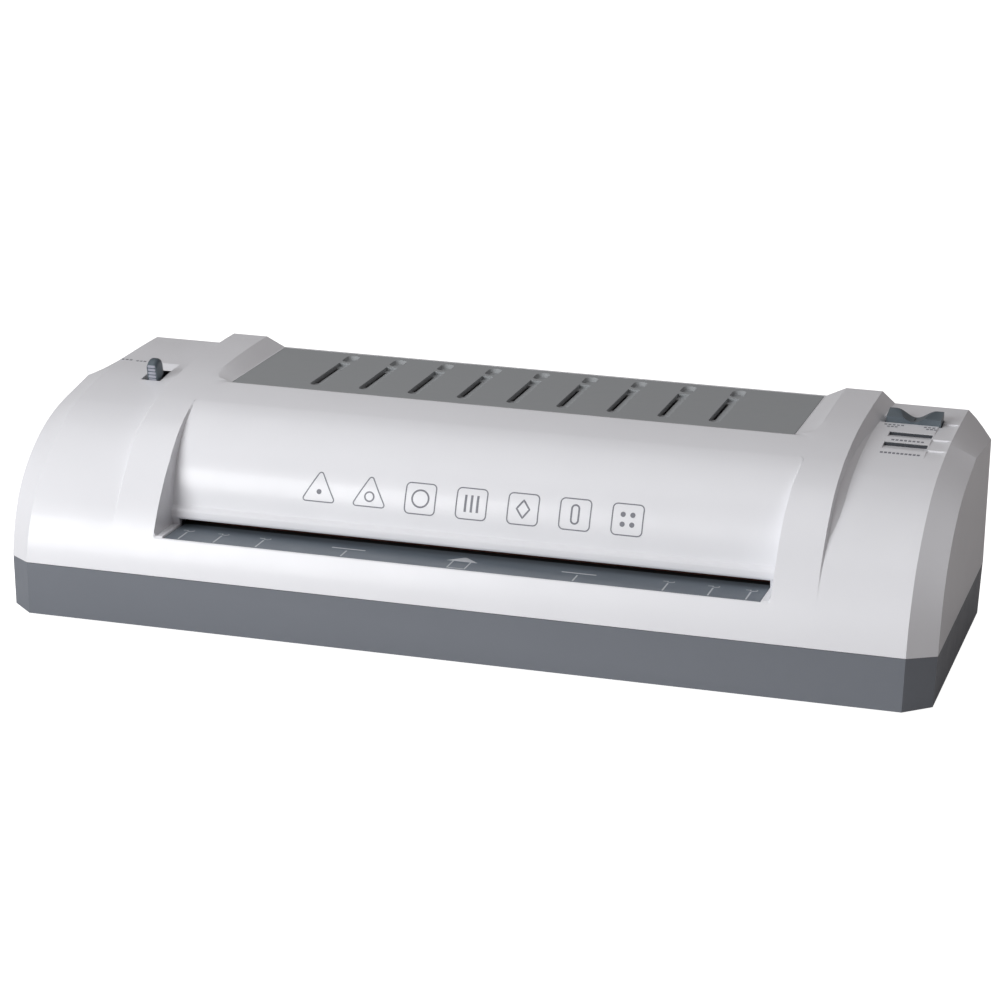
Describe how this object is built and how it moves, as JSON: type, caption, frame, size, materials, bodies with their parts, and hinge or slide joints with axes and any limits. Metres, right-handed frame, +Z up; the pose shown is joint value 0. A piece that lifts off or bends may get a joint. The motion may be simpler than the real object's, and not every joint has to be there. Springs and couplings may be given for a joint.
{
  "type": "pouch laminator",
  "caption": "Desktop pouch laminator with a chamfered shell, sunken feed recess, slotted vent panel, rocker switch, jam release lever, heated plates and geared rollers.",
  "frame": {"origin": "centre of the footprint, on the table plane under the rubber feet", "axes": "+X to the right seen from the front (feed side), +Y towards the rear exit slot, +Z up"},
  "size_m": [0.4892, 0.1856, 0.12],
  "materials": {
    "white_shell": "satin moulded plastic",
    "slate_shell": "fine moulded texture",
    "grey_panel": "fine moulded texture",
    "dark_plastic": "satin",
    "black_plastic": "satin",
    "black_rubber": "matte",
    "silicone": "smooth",
    "screw_steel": "zinc plated",
    "frame_steel": "galvanised sheet",
    "spring_steel": "bright",
    "roller_core": "turned",
    "heater_aluminium": "mill finish",
    "motor_can": "zinc plated",
    "gear_brass": "turned",
    "bush_plastic": "self-lubricating",
    "gear_plastic": "natural acetal",
    "mica": "layered",
    "ceramic": "glazed",
    "window_plastic": "smoked translucent",
    "circuit_board": "solder resist",
    "lamp_lens": "clear tinted",
    "wire_cover": "smooth",
    "blank_label": "foil"
  },
  "bodies": {
    "housing": {"base_tray": "slate_shell", "top_cover": "white_shell", "vent_panel": "grey_panel", "feed_tray": "dark_plastic", "exit_guide": "dark_plastic", "rubber_feet": "black_rubber", "housing_screws": "screw_steel", "rating_plate": "blank_label", "left_side_frame": "frame_steel", "right_side_frame": "frame_steel", "tie_bars": "frame_steel", "frame_screws": "screw_steel", "lower_bushes": "bush_plastic", "idler_stud": "screw_steel", "drive_motor": "motor_can", "motor_bracket": "frame_steel", "motor_standoffs": "gear_brass", "motor_screws": "screw_steel", "pressure_springs": "spring_steel", "lower_heater_plate": "heater_aluminium", "upper_heater_plate": "heater_aluminium", "lower_element": "mica", "upper_element": "mica", "thermostat": "black_plastic", "thermal_fuse": "ceramic", "heat_shield": "heater_aluminium", "rocker_pin": "screw_steel", "rocker_housing": "black_plastic", "ready_window": "window_plastic", "power_window": "window_plastic", "indicator_board": "circuit_board", "indicator_lamps": "lamp_lens", "control_board": "circuit_board", "power_inlet": "black_plastic", "wiring": "wire_cover"},
    "lower_front_roller": {"lower_front_shaft": "roller_core", "lower_front_sleeve": "silicone", "lower_front_gear": "gear_plastic"},
    "lower_rear_roller": {"lower_rear_shaft": "roller_core", "lower_rear_sleeve": "silicone", "lower_rear_gear": "gear_plastic"},
    "upper_front_roller": {"upper_front_shaft": "roller_core", "upper_front_sleeve": "silicone", "upper_front_gear": "gear_plastic"},
    "upper_rear_roller": {"upper_rear_shaft": "roller_core", "upper_rear_sleeve": "silicone", "upper_rear_gear": "gear_plastic"},
    "idler": {"idler_gear": "gear_plastic"},
    "pinion": {"motor_pinion": "gear_brass"},
    "lift_carriage": {"lift_plates": "frame_steel", "upper_bushes": "bush_plastic"},
    "release": {"release_shaft": "frame_steel", "release_cams": "black_plastic", "release_lever": "dark_plastic"},
    "rocker": {"mode_rocker": "dark_plastic"}
  },
  "joints": [
    {"name": "lower_front_spin", "type": "hinge", "parent": "housing", "child": "lower_front_roller", "pos_m": [0, -0.038, 0.0405], "axis": [1, 0, 0], "continuous": true},
    {"name": "lower_rear_spin", "type": "hinge", "parent": "housing", "child": "lower_rear_roller", "pos_m": [0, 0.042, 0.0405], "axis": [1, 0, 0], "continuous": true},
    {"name": "idler_spin", "type": "hinge", "parent": "housing", "child": "idler", "pos_m": [0.185, 0.002, 0.0405], "axis": [1, 0, 0], "continuous": true},
    {"name": "pinion_spin", "type": "hinge", "parent": "housing", "child": "pinion", "pos_m": [0.185, 0.01171, 0.07672], "axis": [1, 0, 0], "continuous": true},
    {"name": "release_turn", "type": "hinge", "parent": "housing", "child": "release", "pos_m": [0, 0.022, 0.08], "axis": [-1, 0, 0], "range_deg": [0, 22]},
    {"name": "carriage_lift", "type": "slide", "parent": "housing", "child": "lift_carriage", "axis": [0, 0, 1], "range_m": [0, 0.0015], "deforming": ["pressure_springs"]},
    {"name": "upper_front_spin", "type": "hinge", "parent": "lift_carriage", "child": "upper_front_roller", "pos_m": [0, -0.038, 0.0635], "axis": [1, 0, 0], "continuous": true},
    {"name": "upper_rear_spin", "type": "hinge", "parent": "lift_carriage", "child": "upper_rear_roller", "pos_m": [0, 0.042, 0.0635], "axis": [1, 0, 0], "continuous": true},
    {"name": "mode_tilt", "type": "hinge", "parent": "housing", "child": "rocker", "pos_m": [0.2073, 0.0578, 0.107], "axis": [0, 1, 0], "range_deg": [-6, 6]}
  ],
  "couplings": [
    {"joint": "lower_rear_spin", "follows": "lower_front_spin", "ratio": 1},
    {"joint": "idler_spin", "follows": "lower_front_spin", "ratio": -0.40351},
    {"joint": "pinion_spin", "follows": "lower_front_spin", "ratio": 1.2778},
    {"joint": "upper_front_spin", "follows": "lower_front_spin", "ratio": -1},
    {"joint": "upper_rear_spin", "follows": "lower_front_spin", "ratio": -1},
    {"joint": "release_turn", "follows": "carriage_lift", "rad_per_m": 255.96}
  ]
}
